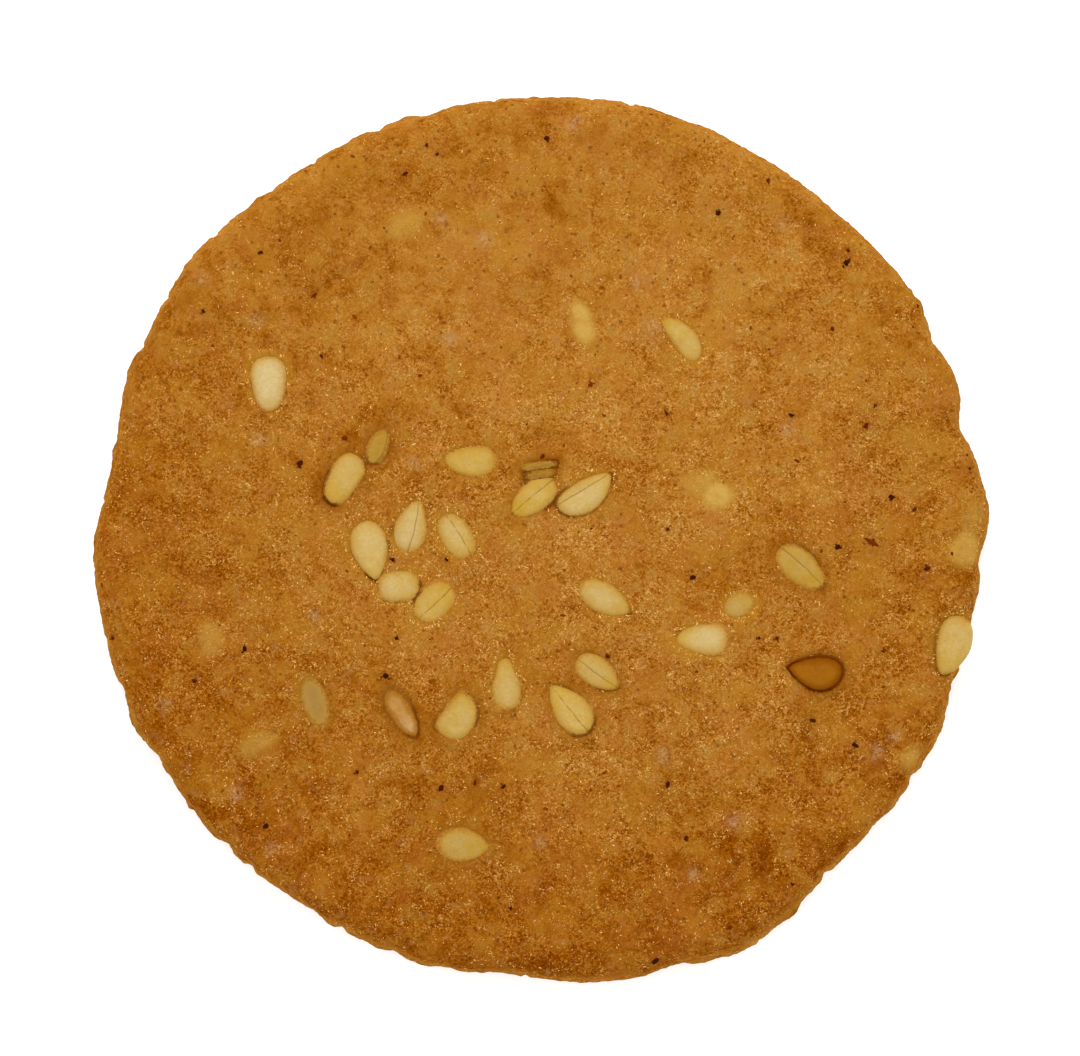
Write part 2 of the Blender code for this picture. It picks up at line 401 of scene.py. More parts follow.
# Seeds under a skin of dough: x, y, length, width, the way they lie, and how clearly they show.
COVERED_SEEDS = (
    (-7.5, 17.6, 2.4, 1.5, 30, 0.4), (2.3, 12.2, 2.6, 1.5, 105, 0.75),
    (9.9, 2.5, 1.8, 1.7, 0, 0.85), (8.9, 3.3, 2.2, 1.5, 20, 0.45),
    (-18.5, -5.45, 2.3, 1.7, 90, 0.4), (-15.9, -11.4, 2.5, 1.4, 32, 0.45),
    (23.8, -0.5, 2.2, 2, 90, 0.6), (24.2, 1.2, 2.4, 1.5, 75, 0.4),
    (20.7, -12.2, 1.7, 1.3, 60, 0.5), (1.5, 3.2, 1.5, 0.7, -65, 0.4),
)
covered = np.zeros(len(places))
for x, y, length, width, lies, clearness in COVERED_SEEDS:
    shape = Seed(x, y, lies, length, width)
    outside, _ = seed_distance(shape, places)
    shows = clearness * step_up(-outside, -0.35 * MM, 0.5 * MM)
    covered = np.maximum(covered, shows * up)
    lift += up * 0.09 * MM * step_up(-outside, -0.3 * MM, 0.7 * MM)


def away_from(x, y):
    """How far the crust's corners lie from a place in millimetres, seen from above."""
    return np.hypot(places[:, 0] - x * MM, places[:, 1] - y * MM)


# Pale, greyish-pink flecks of sugar bloom and small broken bubbles: x, y, radius.
BLOOM = (
    (-5.6, 18, 0.4), (-3.2, 16.8, 0.5), (-15.9, 12.3, 0.4), (-19, 14.6, 0.4), (-5.1, 11.2, 0.5),
    (-15.9, 5.6, 0.4), (1.9, 23.3, 0.5), (13.6, 17.7, 0.4), (13.8, 6.2, 0.5), (6.3, 11.9, 0.5),
    (5.4, 14.4, 0.4), (-12.7, -4.3, 0.4), (-17.1, -14.2, 0.5), (-21, -9.2, 0.4),
    (-15.1, -17.3, 0.4), (6.8, -12.1, 0.5), (18.7, -11.9, 0.5), (19.8, -11, 0.4),
    (10.8, -15.8, 0.5), (8.5, -18.7, 0.4), (0, -16.9, 0.4), (-7.2, 4.3, 0.4),
)
bloom = np.zeros(len(places))
for x, y, radius in BLOOM:
    away = away_from(x, y)
    bloom = np.maximum(bloom, bump(away, 0.8 * radius * MM))
    lift += up * 0.04 * MM * (bump(away, radius * MM) - 1.6 * bump(away, 0.5 * radius * MM))

# The larger spice flakes, which stain the dough round them: x, y, length, width, the way they
# lie, and how red they are.
LARGE_SPECKS = (
    (0.3, 22.5, 0.34, 0.28, 0, 0.1), (-6.4, 22.1, 0.22, 0.18, 30, 0.2),
    (-5.8, 21.6, 0.2, 0.16, 0, 0.4), (-7.6, 20.5, 0.36, 0.2, 10, 0.3),
    (-15.7, 16.1, 0.26, 0.2, 60, 0.2), (-12.7, 13.7, 0.42, 0.2, 20, 0.7),
    (-18.9, 12.8, 0.22, 0.2, 0, 0.2), (-12.3, 10.3, 0.2, 0.16, 0, 0.3),
    (-11, 5.7, 0.34, 0.24, 50, 0.8), (-13.5, 4.3, 0.36, 0.28, 10, 0.1),
    (0.1, 4.7, 0.26, 0.22, 60, 0.6), (9.9, 18.3, 0.3, 0.26, 0, 0),
    (12.7, 20.1, 0.24, 0.18, 0, 0.6), (17.1, 15.5, 0.36, 0.3, 40, 0),
    (17.2, 16.2, 0.2, 0.16, 0, 0.2), (16.3, 11.8, 0.26, 0.18, 10, 0.5),
    (2.8, 8.7, 0.26, 0.22, 0, 1), (7, 7.1, 0.42, 0.12, -20, 0.4), (14, 7, 0.34, 0.18, 60, 0.1),
    (18.7, 7.5, 0.3, 0.12, 50, 0.4), (18.2, 6.4, 0.36, 0.22, 0, 0.5),
    (19.6, 2.4, 0.32, 0.26, 10, 0), (20.9, 1.7, 0.28, 0.18, 30, 0.6), (24, 4, 0.22, 0.12, 70, 0.3),
    (16.6, -0.4, 0.38, 0.24, 50, 0), (18.55, -0.15, 1.2, 0.26, -15, 1),
    (21.6, -1.6, 0.34, 0.24, 0, 0.3), (8.5, -2.1, 0.36, 0.24, 0, 0),
    (-8.7, -7.6, 0.36, 0.32, 0, 0), (-16.6, -6.1, 0.3, 0.26, 70, 0),
    (-19.4, -7.9, 0.26, 0.2, 0, 0.3), (-10.3, -13, 0.24, 0.18, 0, 0.3),
    (-15.4, -16, 0.32, 0.26, -30, 0), (-5.6, -13.9, 0.34, 0.26, 80, 0.1),
    (-3.7, -13.6, 0.34, 0.18, 50, 0.6), (-2.1, -13.8, 0.36, 0.22, 0, 0.2),
    (-8.1, -5.5, 0.22, 0.2, 0, 0.2), (-8.3, -1.1, 0.22, 0.2, 0, 0.1),
    (-5.3, -1.1, 0.26, 0.12, 110, 0.1), (-24, -5.5, 0.28, 0.18, 80, 0.2),
    (-1.7, -20.6, 0.24, 0.18, 0, 0.3), (19.2, -6.2, 0.24, 0.18, 10, 0.9),
    (15.2, -10.1, 0.36, 0.2, 0, 0.2), (17.6, -11.5, 0.4, 0.22, 50, 0.1),
    (7.1, -13.7, 0.36, 0.22, 20, 0.1), (8.1, -16.7, 0.3, 0.24, 0, 0.3),
    (10.6, -21.7, 0.26, 0.22, 0, 0.9), (6.4, -23.6, 0.5, 0.32, 10, 0),
    (14.1, -19.3, 0.22, 0.18, 0, 0.4), (3.7, -6.5, 0.22, 0.2, 0, 0.3),
    (12.2, -5.5, 0.18, 0.16, 0, 0.2), (13.2, -5.5, 0.24, 0.2, 0, 0.5),
    (21.1, 13.1, 0.34, 0.14, -60, 0.2), (7.1, 0.6, 0.22, 0.16, 0, 0.5),
)
stain = np.zeros(len(places))
for x, y, length, _, _, _ in LARGE_SPECKS:
    stain = np.maximum(stain, bump(away_from(x, y), (0.12 + 0.5 * length) * MM))

# Where the top is darker, partly from browning and partly as painted shade in its hollows
# (or paler, where negative): x, y, radius, strength.
BROWNING_AND_PAINTED_SHADE = (
    (-10.9, 5.3, 1.2, 1.4), (-8.7, 6.7, 1.4, 1.3), (-12.7, 3.6, 1, 1.2), (-6.9, 2.9, 1.1, 2.2),
    (-4.3, 6.1, 1.3, 1.2), (-3.9, 9, 1.3, 0.6), (0.2, 5, 1.9, 1.3), (3.8, 4, 1.1, 1.9),
    (1, 3.4, 0.6, 1.6), (13.9, 0.2, 1.5, 2.3), (9.4, -2.6, 1.7, 1.4), (7.9, -4.1, 1.2, 0.8),
    (5.1, -3.7, 0.7, 0.9), (-5.8, -2.1, 1, 1.1), (-0.5, -7.1, 0.8, 0.8), (-8.9, -7.7, 1.4, 1.4),
    (-6.8, -9.9, 1, 1.4), (-4.2, -7.6, 1.1, 1.7), (-6.5, -8.5, 0.8, 1.2), (2.9, 10.6, 0.8, 1.1),
    (1.1, -7.9, 0.9, 1.1), (-4.2, -13.9, 1.9, 1.5), (-3.7, -15.5, 0.9, 1.4), (-12.5, 13.8, 1.3, 1),
    (-7.4, 20.4, 1.3, 0.7), (0.7, 19.4, 1.3, 0.9), (0.3, 13.6, 1, 0.8), (17.3, 15.5, 1.3, 0.8),
    (18.1, 6.6, 1.1, 0.8), (20.6, 1.2, 1.2, 0.8), (-22.2, 4, 1.3, 0.8), (-17.3, 2, 1, 0.8),
    (-21.2, -8.2, 1.4, 0.8), (-13.5, -14.3, 1, 0.9), (-5.8, -16, 1.1, 1.1), (8.4, -17.8, 1.4, 1.3),
    (-15.6, -16, 1.8, 1), (2.4, -23, 5, 0.7), (-19, -14, 4, 0.6), (11.6, -18.3, 2, 1.4),
    (-23.5, 1, 4.5, 0.4), (-4.5, 15.8, 3.2, -0.8), (-14.7, 12.8, 1.5, -1.7),
    (-11, 18.8, 1.5, -0.9), (-12.3, 15.3, 0.9, -0.8), (-8.2, 14.6, 1.5, -0.5), (7.1, 1, 2, -0.5),
    (-0.7, -9.8, 1.5, -1.1), (-5.8, -18.7, 0.9, -1), (-3.6, 2, 0.9, -1), (13.1, -20.6, 1, -1),
    (-2.2, 13.7, 1, -0.9), (21, 6.9, 1.2, -0.9), (-21.1, 0.4, 1.6, -0.9), (-4.2, -11.9, 0.9, -1),
    (-18.2, -12.7, 1.3, -0.9), (15.7, -9.4, 0.9, -1), (12, -22.1, 1.3, -1.1),
    (-4.1, -22, 1.3, -1.4), (13.4, -11, 1, -1), (-7.7, -12.4, 0.9, -1), (-9.5, 17.8, 2.5, -0.5),
    (8, 18, 5.5, -0.5), (12, 8.5, 6, -0.5), (1.4, 0.4, 2.5, -1.3), (-5.9, -4.4, 2.6, -0.6),
    (10.9, -10.9, 2.4, -0.8), (7.8, -15, 2, -0.5), (22, 6, 4, -0.5),
)
# The hollows of the folds are darkened with painted shade.
browning_and_hollow_shade = 0.5 * hollow
for x, y, radius, strength in BROWNING_AND_PAINTED_SHADE:
    browning_and_hollow_shade += strength * bump(away_from(x, y), radius * MM)

places[:, 2] = np.maximum(places[:, 2] + lift, low.z)
put_places(crust, places)

# How deep each spot lies below the surface round it (or stands above it, where negative),
# for painted light on the cut edge's crests and painted shade in its crevices.
LEVELLING_STEPS = 12
DEEP_RECESS = 0.05 * MM

only(crust)
bpy.ops.object.duplicate()
levelled = bpy.context.object
apply_modifier(levelled, "SMOOTH", factor=0.5, iterations=LEVELLING_STEPS)
crust.data.vertices.foreach_get("normal", normals)
recess = np.sum((places_of(levelled) - places) * normals.reshape(-1, 3), axis=1)
recess += 0.8 * fade * narrow
bpy.data.objects.remove(levelled)


def store(piece, name, values):
    """Keeps one number for each corner, for the material to read."""
    attribute = piece.data.attributes.new(name, "FLOAT", "POINT")
    attribute.data.foreach_set("value", np.asarray(values, np.float32))


# What the material reads. The rim browned more than the middle. The tone is darker and redder
# towards the near side than the far one, where the grain is finer too, and a little darker
# towards -X, which is painted shade.
FAR_SIDE_PALER = 0.35
reach_share = np.hypot(places[:, 0], places[:, 1]) / edge_reach
north = places[:, 1] / edge_reach
east = places[:, 0] / edge_reach
rim_bake = 0.55 * step_up(reach_share, 0.3, 1.0)
coarse = 0.98 - (0.41 - 0.15 * step_up(east, 0.0, 0.5)) * step_up(north, 0.1, 0.65)
marks = {
    # Its -X term is painted shade, and the browned patches carry painted shade in the hollows.
    "bake_and_shade": rim_bake - FAR_SIDE_PALER * north - 0.12 * east + 0.35 * browning_and_hollow_shade,
    "coarse": coarse,
    "uneven": 2 - coarse + 0.3 * step_up(east, 0.0, 0.5) + 0.15 * step_up(-north, 0.2, 0.6),
    "to_seed": to_seed / MM,
    "crack": crack,
    "dusk": dusk,
    "covered": covered,
    "bloom": bloom * up,
    "stain": stain * up,
    "side": above * step_up(-facing_up, -0.7, -0.2),
    "painted_pit_shade": np.clip(pits / DEEP_PIT, 0, 1),
    "under": 1 - above,
    "recess": recess / DEEP_RECESS,
}
for name, values in marks.items():
    store(crust, name, values)
only(crust)
bpy.ops.object.shade_smooth()

# How much darker than it looks a surface has to be, under this studio's bright light.
LIGHT_SHARE = 0.78


def colour(red, green, blue):
    """A colour given as 0 to 255 in display values, as a node takes it."""
    shares = [part / 255 for part in (red, green, blue)]
    linear = [s / 12.92 if s <= 0.04045 else ((s + 0.055) / 1.055) ** 2.4 for s in shares]
    return (*[LIGHT_SHARE * part for part in linear], 1.0)


def new_material(name, roughness, specular):
    material = bpy.data.materials.new(name)
    material.use_nodes = True
    shader = material.node_tree.nodes["Principled BSDF"]
    shader.inputs["Roughness"].default_value = roughness
    shader.inputs["Specular IOR Level"].default_value = specular
    return material, material.node_tree, shader


def add_node(tree, kind, inputs, **settings):
    """A node with its settings, and its inputs given as numbers or as other nodes' outputs."""
    made = tree.nodes.new("ShaderNode" + kind)
    for setting, value in settings.items():
        setattr(made, setting, value)
    for name, value in inputs.items():
        if isinstance(value, bpy.types.NodeSocket):
            tree.links.new(value, made.inputs[name])
        else:
            made.inputs[name].default_value = value
    return made


def spots_on(tree):
    """The places on the piece, for its patterns."""
    return add_node(tree, "TexCoord", {}).outputs["Object"]


def calculate(operation, first, second=0.0):
    """One step of arithmetic. At least one of the two values is a node's output."""
    tree = next(part.id_data for part in (first, second) if isinstance(part, bpy.types.NodeSocket))
    return add_node(tree, "Math", {0: first, 1: second}, operation=operation).outputs[0]


def times(first, second):
    return calculate("MULTIPLY", first, second)


def plus(first, second):
    return calculate("ADD", first, second)


def minus(first, second):
    return calculate("SUBTRACT", first, second)


def apart(first, second):
    """How far two numbers lie apart."""
    return calculate("ABSOLUTE", minus(first, second))


def cloud(spot, size, detail=2.0, roughness=0.6):
    """A noise pattern with features about that size in metres, as 0 to 1."""
    inputs = {"Vector": spot, "Scale": 1 / size, "Detail": detail, "Roughness": roughness}
    return add_node(spot.id_data, "TexNoise", inputs).outputs["Fac"]


def read(tree, name):
    """A number kept for each corner of the mesh."""
    return add_node(tree, "Attribute", {}, attribute_name=name).outputs["Fac"]


def blended(share, first, second, way="MIX"):
    """first where share is 0, second (or their product) where it is 1."""
    inputs = {0: share, 6: first, 7: second}
    made = add_node(share.id_data, "Mix", inputs, data_type="RGBA", blend_type=way)
    return made.outputs[2]


def layered(shade, *layers):
    """A shade with layers of other colours over it: each one's share, 0 to 1, and colour."""
    for share, *tint in layers:
        shade = blended(share, shade, colour(*tint))
    return shade


def coat(piece, material, shade, relief=None, depth=0.0):
    """Gives a piece its material, with that colour and with bumps of that depth in metres."""
    tree = material.node_tree
    shader = tree.nodes["Principled BSDF"]
    tree.links.new(shade, shader.inputs["Base Color"])
    if relief is not None:
        bumps = add_node(tree, "Bump", {"Strength": 1.0, "Distance": depth, "Height": relief})
        tree.links.new(bumps.outputs["Normal"], shader.inputs["Normal"])
    piece.data.materials.append(material)


def ramp(value, stops):
    """The colour that value picks, from stops of a value and a colour each."""
    made = add_node(value.id_data, "ValToRGB", {"Fac": value})
    elements = made.color_ramp.elements
    while len(elements) < len(stops):
        elements.new(0.5)
    for element, (place, shade) in zip(elements, stops):
        element.position = place
        element.color = shade
    return made.outputs["Color"]


def eased(value, start, end, strength=1.0, way="SMOOTHSTEP"):
    """0 where value is at start, strength where it is at end (and smooth between)."""
    inputs = {"Value": value, "From Min": start, "From Max": end, "To Max": strength}
    made = add_node(value.id_data, "MapRange", inputs, interpolation_type=way)
    return made.outputs[0]


def patch_of(spot, size, start, end, strength=1.0, way="SMOOTHSTEP"):
    """Where a cloud pattern of that size passes from start to end: 0 to strength."""
    return eased(cloud(spot, size), start, end, strength, way)


def shifted(spot, x, y, z):
    """The spot moved in a pattern, so that two patterns don't follow each other."""
    inputs = {0: spot, 1: (x, y, z)}
    return add_node(spot.id_data, "VectorMath", inputs, operation="ADD").outputs[0]


def cell_chance(spot, size):
    """A random number for each small cell of that size."""
    cells = add_node(spot.id_data, "TexVoronoi", {"Vector": spot, "Scale": 1 / size})
    return add_node(spot.id_data, "SeparateColor", {0: cells.outputs["Color"]}).outputs[0]


# The dough's colour, from its darkest grain to its palest.
TONES = (
    (0.00, colour(122, 58, 0)),
    (0.25, colour(149, 82, 4)),
    (0.50, colour(182, 116, 36)),
    (0.75, colour(203, 142, 63)),
    (1.00, colour(238, 190, 118)),
)

# Olive, golden and russet patches: the part of the cloud pattern that each is taken from, its
# size in millimetres, where it starts and is full, its strength, and its colour.
PATCHES = (
    ((0.0, 0.0, 0.0), 1.1, 0.52, 0.7, 0.55, (166, 117, 38)),
    ((-0.04, 0.03, 0.02), 2.6, 0.5, 0.67, 0.45, (184, 126, 36)),
    ((0.05, -0.04, 0.01), 2.2, 0.52, 0.69, 0.42, (178, 104, 38)),
)


def baked_shade(spot):
    """The browned dough's colour, and its grain's height for the bumps."""
    tree = spot.id_data
    patches = cloud(spot, 4.5 * MM, 4.0, 0.65)
    mottle = cloud(spot, 1.1 * MM, 4.0, 0.7)
    grain = cloud(spot, 0.26 * MM, 3.0, 0.8)
    fleck = cell_chance(spot, 0.13 * MM)
    dust = cell_chance(spot, 0.075 * MM)
    fine = 0.0
    for pattern, weight in ((grain, 0.74), (fleck, 0.27), (dust, 0.54)):
        fine = plus(fine, times(minus(pattern, 0.5), weight))
    limits = {"From Min": 0.35, "From Max": 0.65, "To Min": 0.5, "To Max": 1.1}
    amount = add_node(tree, "MapRange", {"Value": cloud(spot, 1.7 * MM), **limits})
    coarse = read(tree, "coarse")
    fine = times(fine, times(amount.outputs[0], coarse))
    tone = plus(fine, 0.5)
    for pattern, weight in ((patches, 0.38), (mottle, 0.62)):
        centred = times(minus(pattern, 0.5), read(tree, "uneven"))
        tone = plus(tone, times(centred, weight))
    bake_and_shade = read(tree, "bake_and_shade")
    shade = ramp(minus(tone, times(bake_and_shade, 0.22)), TONES)
    for offset, size, start, end, strength, tint in PATCHES:
        moved = shifted(spot, *offset)
        patch = patch_of(moved, size * MM, start, end, strength, "LINEAR")
        shade = layered(shade, (patch, *tint))

    # A few round brown freckles, and a redder tone towards the rim, in the painted shade and in
    # the browned patches.
    freckle = add_node(tree, "TexVoronoi", {"Vector": spot, "Scale": 1 / (1.3 * MM)})
    rare = add_node(tree, "SeparateColor", {0: freckle.outputs["Color"]}).outputs[1]
    wide = times(eased(rare, 0.45, 1.0), 0.22)
    soft = minus(freckle.outputs["Distance"], wide)
    shade = layered(shade, (eased(soft, 0.0, -0.12, 0.5), 146, 84, 14))
    warmth = eased(bake_and_shade, 0.1, 1.0)
    shade = blended(warmth, shade, (1.0, 0.91, 0.72, 1.0), "MULTIPLY")
    moved = shifted(spot, 0.03, 0.02, 0.01)
    blush = patch_of(moved, 0.7 * MM, 0.58, 0.76, 0.5, "LINEAR")

    # Painted glints: melted sugar dried in short bright threads, with dark pores and cracks
    # between.
    sugary = patch_of(shifted(spot, 0.01, 0.05, 0.02), 1.0 * MM, 0.46, 0.62)
    twisted = shifted(spot, -0.02, 0.01, 0.04)
    inputs = {"Vector": twisted, "Scale": 1 / (0.42 * MM), "Detail": 2.0, "Distortion": 1.2}
    threads = add_node(tree, "TexNoise", inputs).outputs["Fac"]
    painted_glints = eased(apart(threads, 0.5), 0.03, 0.0, 0.75)
    painted_glints = times(painted_glints, eased(dust, 0.35, 0.8))
    painted_glints = times(painted_glints, times(sugary, coarse))
    split = eased(apart(threads, 0.42), 0.03, 0.0, 0.5)
    split = times(split, eased(fleck, 0.5, 0.9))
    pore = eased(cell_chance(twisted, 0.16 * MM), 0.975, 0.99, 0.55)
    shade = layered(shade, (blush, 184, 126, 66), (painted_glints, 252, 204, 118),
                    (split, 116, 56, 0), (pore, 108, 46, 0))
    return shade, plus(grain, times(fleck, 0.6))


crumb, tree, _ = new_material("baked_crumb", 0.7, 0.0)
spot = spots_on(tree)
shade, relief = baked_shade(spot)
ragged = minus(cloud(spot, 0.16 * MM, 3.0, 0.8), 0.5)
from_rim = plus(read(tree, "to_seed"), times(ragged, 0.35))
dusky = read(tree, "dusk")
golden = times(patch_of(spot, 1.6 * MM, 0.3, 0.6, 0.7), minus(1.0, dusky))
golden = times(golden, eased(from_rim, 0.55, 0.05))
# Darker dough round the seeds: partly browning, partly painted shade.
dark = times(eased(from_rim, 1.0, 0.1, 0.55), dusky)
patchy = patch_of(spot, 0.7 * MM, 0.2, 0.6, 0.35)
buried = times(read(tree, "covered"), plus(patchy, 0.75))
side = read(tree, "side")
wild = add_node(tree, "TexNoise", {"Vector": spot, "Scale": 1 / (0.5 * MM), "Detail": 3.0})
inputs = {0: wild.outputs["Color"], 1: (0.6 * MM,) * 3, 2: spot}
torn = add_node(tree, "VectorMath", inputs, operation="MULTIPLY_ADD").outputs[0]
crumbs = cell_chance(torn, 0.5 * MM)
# Painted light on the cut edge's crests and painted shade in its crevices and holes, from their
# depth.
painted_relief_shading = plus(read(tree, "recess"), times(ragged, 1.2))
painted_pit_shade = plus(read(tree, "painted_pit_shade"), times(ragged, 0.9))
bloomed = times(read(tree, "bloom"), patch_of(spot, 0.22 * MM, 0.38, 0.6, 0.62))
stained = times(read(tree, "stain"), patch_of(spot, 0.2 * MM, 0.3, 0.6, 0.6))
split_open = read(tree, "crack")
# Painted shadow in the open cracks along the seeds, and painted shade spreading from them.
painted_crack_shadow = eased(apart(from_rim, 0.04), 0.13, 0.02, 0.9)
painted_shade_by_cracks = eased(from_rim, 0.55, 0.1, 0.4)
shade = layered(
    shade,
    # Golden dough round some seeds, darker dough round others (partly browned, partly painted
    # shade), and the seeds under a skin of dough.
    (golden, 184, 128, 34),
    (dark, 150, 88, 14),
    (buried, 194, 142, 48),
    (times(buried, buried), 216, 172, 88),
    # The cut edge, its pale and dark crumbs, painted light on its crests, and painted shade in
    # its crevices and in its holes.
    (times(side, 0.3), 190, 126, 40),
    (times(eased(crumbs, 0.62, 0.9, 0.22), side), 208, 148, 62),
    (times(eased(crumbs, 0.3, 0.08, 0.22), side), 146, 84, 14),
    (times(eased(painted_relief_shading, -0.15, -1.2, 0.6), side), 216, 156, 70),
    (times(eased(painted_relief_shading, 0.15, 1.2, 0.75), side), 112, 56, 2),
    (times(eased(painted_pit_shade, 0.45, 0.9, 0.45), side), 116, 58, 4),
    # The underside, the flecks and stains on the top, and painted shadow in and beside the
    # cracks along the seeds.
    (times(read(tree, "under"), 0.45), 140, 78, 14),
    (bloomed, 198, 156, 112),
    (stained, 138, 70, 16),
    (times(painted_crack_shadow, split_open), 90, 34, 0),
    (times(painted_shade_by_cracks, split_open), 136, 68, 0),
)
coat(crust, crumb, shade, relief, 0.05 * MM)
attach(crust, "root")
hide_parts("cookie")
finished_crust = BVHTree.FromObject(crust, bpy.context.evaluated_depsgraph_get())

# --------------------------------------
# The hulled sesame seeds: flat drops about 3 mm long, cream to yellow, with a thin fold
# along the back of some. The dough holds each one by its rim, which has taken its colour.
# --------------------------------------
SEED_THICKNESS = 0.9 * MM
SEED_SEGMENTS = 48
SEED_RINGS = 32
CREASE_DEPTH = 0.03 * MM
DENT_DEPTH = 0.05 * MM
OVERHANG = 0.25 * MM
LEAN_DEGREES = 3
FLATNESS = 3.0
NO_FOLD = 9.0


def model_seed(seed, name):
    """One seed in its seat, as an object of its own."""
    bpy.ops.object.select_all(action="DESELECT")
    bpy.ops.mesh.primitive_uv_sphere_add(segments=SEED_SEGMENTS, ring_count=SEED_RINGS, radius=1)
    piece = bpy.context.object
    piece.name = name
    bpy.ops.object.mode_set(mode="EDIT")
    bpy.ops.transform.rotate(value=pi / 2, orient_axis="Y", center_override=(0, 0, 0))
    bpy.ops.object.mode_set(mode="OBJECT")
    ball = places_of(piece)
    along, across, rise = ball[:, 0], ball[:, 1], ball[:, 2]
    # The seed's middle lies below the dough, so it is drawn larger than what shows of it.
    sunk = SEED_THICKNESS / 2 - seed.proud * MM
    hidden = max(sunk, 0) / (SEED_THICKNESS / 2)
    grow = 1 / (1 - hidden**FLATNESS) ** (1 / FLATNESS)
    shown = np.clip(along * grow, -1, 1)
    if seed.crease is None:
        fold = np.full(len(ball), NO_FOLD)
    else:
        path = seed.crease * (1 - 0.5 * shown * shown) + 0.012 * np.sin(9 * shown)
        fold = (across * grow - path) * seed.width / 2
    fuller = (1 - np.clip(np.hypot(along, across), 0, 1) ** FLATNESS) ** (1 / FLATNESS)
    uneven = np.ones(len(ball))
    around = np.arctan2(across, along)
    for waves, size in ((2, 0.01), (3, 0.015), (4, 0.012), (6, 0.01), (9, 0.006)):
        uneven += size * np.sin(waves * around + chance.uniform(0, 2 * pi))
    shaped = np.empty_like(ball)
    shaped[:, 0] = along * uneven * grow * seed.length / 2 * MM
    sideways = across * grow * width_there(seed, shown) + curl(seed, shown)
    shaped[:, 1] = sideways * uneven * seed.width / 2 * MM
    shaped[:, 2] = np.sign(rise) * fuller * SEED_THICKNESS / 2 * (1 - 0.4 * seed.taper * along)
    shaped[:, 2] -= CREASE_DEPTH * bump(fold, 0.05) * (rise > 0)
    dents = [noise.noise(Vector((seed.x + u, seed.y + v, w)) * 2.2) for u, v, w in ball]
    shaped[:, 2] += DENT_DEPTH * np.array(dents) * (rise > 0)
    lean = [radians(chance.normal(0, LEAN_DEGREES)) for _ in range(2)]
    tilt = Euler((*lean, radians(seed.tip)))
    seat = Vector((seed.x * MM, seed.y * MM, seats[seed] - sunk))
    put_places(piece, shaped)
    piece.data.transform(Matrix.Translation(seat) @ tilt.to_matrix().to_4x4())
    store(piece, "fold", fold)
    store(piece, "pale", seed.pale + seed.tip_pale * np.clip(along, 0, 1))
    store(piece, "veil", np.full(len(ball), seed.veil))
    in_place = places_of(piece)
    stands_off = np.zeros(len(in_place))
    for number, place in enumerate(in_place):
        nearest, facing, _, away = finished_crust.find_nearest(Vector(place))
        stands_off[number] = away if facing.dot(Vector(place) - nearest) > 0 else 0.0
    # Where it overhangs the dough, its side is bare and clean like its back.
    outside, bearings = seed_distance(seed, in_place)
    store(piece, "inside", np.maximum(-outside, 3 * (stands_off - OVERHANG)) / MM)
    store(piece, "gap", openness(seed, bearings))
    store(piece, "bake_and_shade", -FAR_SIDE_PALER * in_place[:, 1] / edge_reach)
    store(piece, "coarse", np.full(len(ball), 1.0))
    store(piece, "uneven", np.full(len(ball), 1.0))
    return piece


def join_pieces(pieces, name):
    bpy.ops.object.select_all(action="DESELECT")
    for piece in pieces:
        piece.select_set(True)
    bpy.context.view_layer.objects.active = pieces[0]
    bpy.ops.object.join()
    joined = bpy.context.object
    joined.name = name
    bpy.ops.object.shade_smooth()
    return joined


hulled = join_pieces([model_seed(s, "seed") for s in HULLED_SEEDS + EDGE_ON_SEEDS], "sesame_seeds")
kernel, tree, shader = new_material("hulled_sesame", 0.55, 0.03)
spot = spots_on(tree)
veil = read(tree, "veil")
blotch = patch_of(spot, 0.6 * MM, 0.35, 0.65, 0.24)
paleness = minus(plus(read(tree, "pale"), 0.1), blotch)
shade = blended(paleness, colour(207, 164, 56), colour(221, 196, 138))
speckle = cloud(spot, 0.16 * MM, 3.0, 0.8)
ragged = minus(speckle, 0.5)
raggedness = plus(times(veil, 0.7), 0.3)
inside = plus(read(tree, "inside"), times(ragged, raggedness))
wander = times(ragged, 0.08)
fold = calculate("ABSOLUTE", plus(read(tree, "fold"), wander))
# Painted shade along the groove of the fold.
painted_crease_shade = eased(fold, 0.055, 0.01, 0.56)
painted_crease_shade = times(painted_crease_shade, patch_of(spot, 0.5 * MM, 0.3, 0.5))
shade = layered(
    shade,
    (times(minus(0.66, speckle), 0.8), 168, 122, 48),
    (eased(cell_chance(spot, 0.1 * MM), 0.9, 0.99, 0.15), 240, 206, 130),
    (times(veil, 0.6), 152, 104, 36),
    (eased(inside, 0.75, 0.1, 0.5), 193, 146, 54),
    (eased(inside, 0.3, 0.04, 0.7), 190, 138, 42),
    (times(veil, eased(inside, 0.3, 0.06, 0.5)), 140, 84, 12),
    (painted_crease_shade, 136, 86, 0),
)
dough, _ = baked_shade(spot)
shade = blended(eased(inside, 0.12, -0.02, 0.85), shade, dough)
# Painted shadow where a crack has opened along the seed's rim.
painted_gap_shadow = times(eased(inside, 0.14, 0.02, 0.9), read(tree, "gap"))
shade = layered(shade, (painted_gap_shadow, 94, 40, 0))
shader.inputs["Subsurface Weight"].default_value = 0.15
shader.inputs["Subsurface Radius"].default_value = (1.0, 0.6, 0.3)
shader.inputs["Subsurface Scale"].default_value = 0.4 * MM
coat(hulled, kernel, shade, speckle, 0.03 * MM)
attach(hulled, "root")

